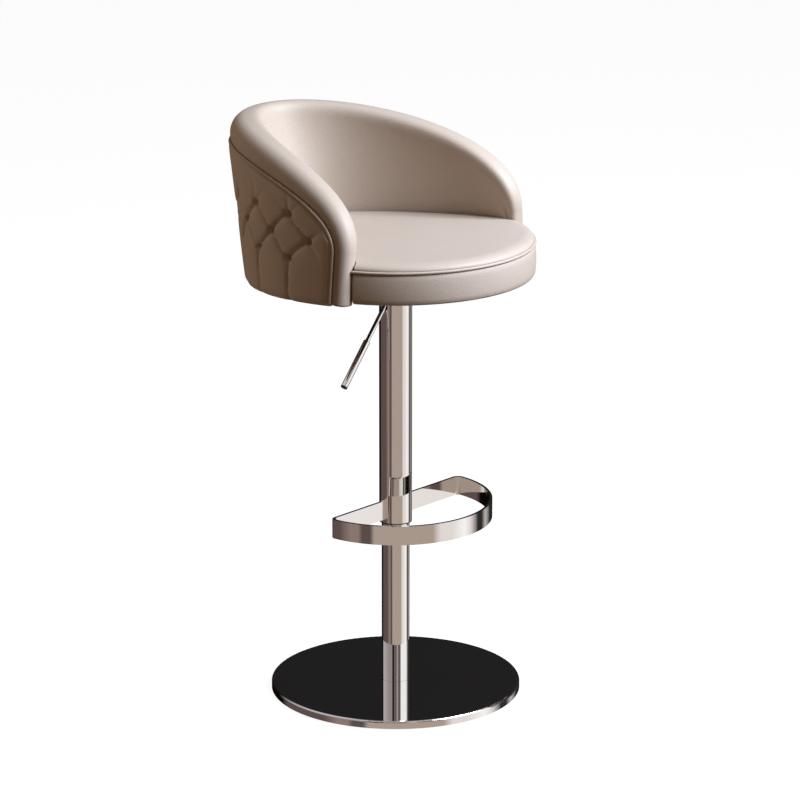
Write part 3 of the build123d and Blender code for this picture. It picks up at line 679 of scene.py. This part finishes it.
# Floor: a wide sheet of pale paper, laid flat under the stool. It is bright to the camera alone,
# so that it neither lights the leather nor shows in the polished parts.
floor_half = 30.0
corners = [(x * floor_half, y * floor_half, 0) for x, y in ((-1, -1), (1, -1), (1, 1), (-1, 1))]
ground_mesh = bpy.data.meshes.new("floor")
ground_mesh.from_pydata(corners, [], [(0, 1, 2, 3)])
floor = bpy.data.objects.new("floor", ground_mesh)
scene.collection.objects.link(floor)
paper, tree, shader, place = material(
    "paper", Roughness=0.9, Emission_Strength=0.93, Emission_Color=(1, 1, 1, 1),
)
pulp = tint(tree, noise(tree, place, 3), (0.11, 0.11, 0.11), (0.1, 0.1, 0.1))
tree.links.new(pulp, shader.inputs["Base Color"])
ground_mesh.materials.append(paper)
floor.visible_glossy = False
floor.visible_diffuse = False

# Studio: white to the camera, a dim warm room for matt surfaces, and for reflections a ring of pale and dark
# screens round the stool, given by their bearing to the right of the camera as seen from the stool.
view_turn = math.radians(-48.5)
toward = np.array([math.sin(view_turn), -math.cos(view_turn), 0.0])
right = np.array([math.cos(view_turn), math.sin(view_turn), 0.0])
world = bpy.data.worlds.new("studio")
scene.world = world
world.use_nodes = True
tree = world.node_tree
tree.nodes.clear()
ray = tree.nodes.new("ShaderNodeLightPath")
way = tree.nodes.new("ShaderNodeTexCoord").outputs["Generated"]
across = node(tree, "ShaderNodeVectorMath", [(0, way)], operation="DOT_PRODUCT")
across.inputs[1].default_value = tuple(right)
ahead = node(tree, "ShaderNodeVectorMath", [(0, way)], operation="DOT_PRODUCT")
ahead.inputs[1].default_value = tuple(toward)
bearing = node(tree, "ShaderNodeMath", [(0, across.outputs[1]), (1, ahead.outputs[1])], operation="ARCTAN2")
turn = node(tree, "ShaderNodeMapRange", [(0, bearing.outputs[0])], From_Min=-math.pi, From_Max=math.pi)


black = (0.004, 0.002, 0.002)
coal = (0.016, 0.015, 0.015)
soot = (0.03, 0.027, 0.027)
brown = (0.11, 0.08, 0.075)
stone = (0.2, 0.165, 0.16)
clay = (0.275, 0.2, 0.175)
grey = (0.33, 0.29, 0.285)
sand = (0.43, 0.345, 0.29)
silver = (0.505, 0.475, 0.465)
pale = (0.81, 0.755, 0.73)
white = (1.0, 1.0, 1.0)
ceiling = (0.6, 0.6, 0.6)
room = (0.14, 0.09, 0.058)


def horizon(*screens):
    """Tone by bearing: each screen edge is (degrees to the right of the camera, tone), blended in between."""
    made = node(tree, "ShaderNodeValToRGB", [(0, turn.outputs[0])])
    marks = made.color_ramp.elements
    while len(marks) < len(screens):
        marks.new(0.5)
    for mark, (degrees, tone) in zip(marks, screens):
        mark.position = (degrees + 180) / 360
        mark.color = (*tone, 1)
    return made.outputs[0]


low_screens = horizon(
    (-180, black), (-130, black), (-120, brown), (-70, brown), (-55, clay), (-45, clay), (-40, brown),
    (-30, brown), (-25, sand), (45, sand), (55, pale), (70, pale), (90, white), (100, pale), (115, soot),
    (125, soot), (135, silver), (150, soot), (180, black),
)
high_screens = horizon(
    (-180, coal), (-130, black), (-115, silver), (-50, grey), (-30, grey), (-25, black), (-15, black),
    (-10, stone), (5, brown), (15, silver), (20, stone), (40, brown), (45, white), (100, white), (110, grey),
    (130, soot), (150, soot), (180, coal),
)
lift = node(tree, "ShaderNodeSeparateXYZ", [(0, way)]).outputs["Z"]
rise = node(tree, "ShaderNodeMapRange", [(0, lift)], From_Max=0.03)
tiers = [(0, rise.outputs[0]), (6, low_screens), (7, high_screens)]
low = node(tree, "ShaderNodeMix", tiers, data_type="RGBA")
peak = node(tree, "ShaderNodeMapRange", [(0, lift)], From_Min=0.5, From_Max=0.8)
seen = node(tree, "ShaderNodeMix", [(0, peak.outputs[0]), (6, low.outputs[2])], data_type="RGBA")
seen.inputs[7].default_value = (*ceiling, 1)
mirrored = ray.outputs["Is Glossy Ray"]
soft = node(tree, "ShaderNodeMix", [(0, mirrored), (7, seen.outputs[2])], data_type="RGBA")
soft.inputs[6].default_value = (*room, 1)
direct = ray.outputs["Is Camera Ray"]
shown = node(tree, "ShaderNodeMix", [(0, direct), (6, soft.outputs[2])], data_type="RGBA")
shown.inputs[7].default_value = (*white, 1)
sky = node(tree, "ShaderNodeBackground", [("Color", shown.outputs[2])])
node(tree, "ShaderNodeOutputWorld", [("Surface", sky.outputs[0])])
world.cycles.sampling_method = "NONE"


# Lights: a large cool soft box high on the right, and a small warm one, low behind the stool on the left,
# that shapes the tufts and doesn't show in the polished parts.
def softbox(name, side, front, high, aim, size, power, colour):
    """Area light, placed to the right of and in front of the stool for the camera, and aimed at a height."""
    lamp = bpy.data.lights.new(name, "AREA")
    lamp.size = size
    lamp.energy = power
    lamp.color = colour
    made = bpy.data.objects.new(name, lamp)
    scene.collection.objects.link(made)
    place = right * side + toward * front + np.array([0, 0, high])
    made.location = tuple(place)
    made.rotation_mode = "QUATERNION"
    made.rotation_quaternion = (Vector((0, 0, aim)) - Vector(place)).to_track_quat("-Z", "Y")
    return made


softbox("key", 2.4, 0.6, 2.9, 0.82, 1.9, 272, (0.88, 1.0, 1.2))
softbox("fill", -2.1, -0.9, 1.2, 0.8, 0.7, 13.5, (1.0, 0.82, 0.68)).visible_glossy = False

# Camera: a long lens about six metres off, looking down on the stool from its front right-hand side.
# The shift is the small distance between the column and the middle of the picture.
camera_far = 5.987
camera_high = 2.2354
camera_dip = 16.125
lens = bpy.data.cameras.new("camera")
lens.sensor_width = 36.0
lens.lens = 168.9
lens.shift_x = 0.0055
camera = bpy.data.objects.new("camera", lens)
scene.collection.objects.link(camera)
camera.location = tuple(toward * camera_far + np.array([0, 0, camera_high]))
camera.rotation_euler = (math.radians(90 - camera_dip), 0, view_turn)
scene.camera = camera
scene.view_settings.view_transform = "Standard"
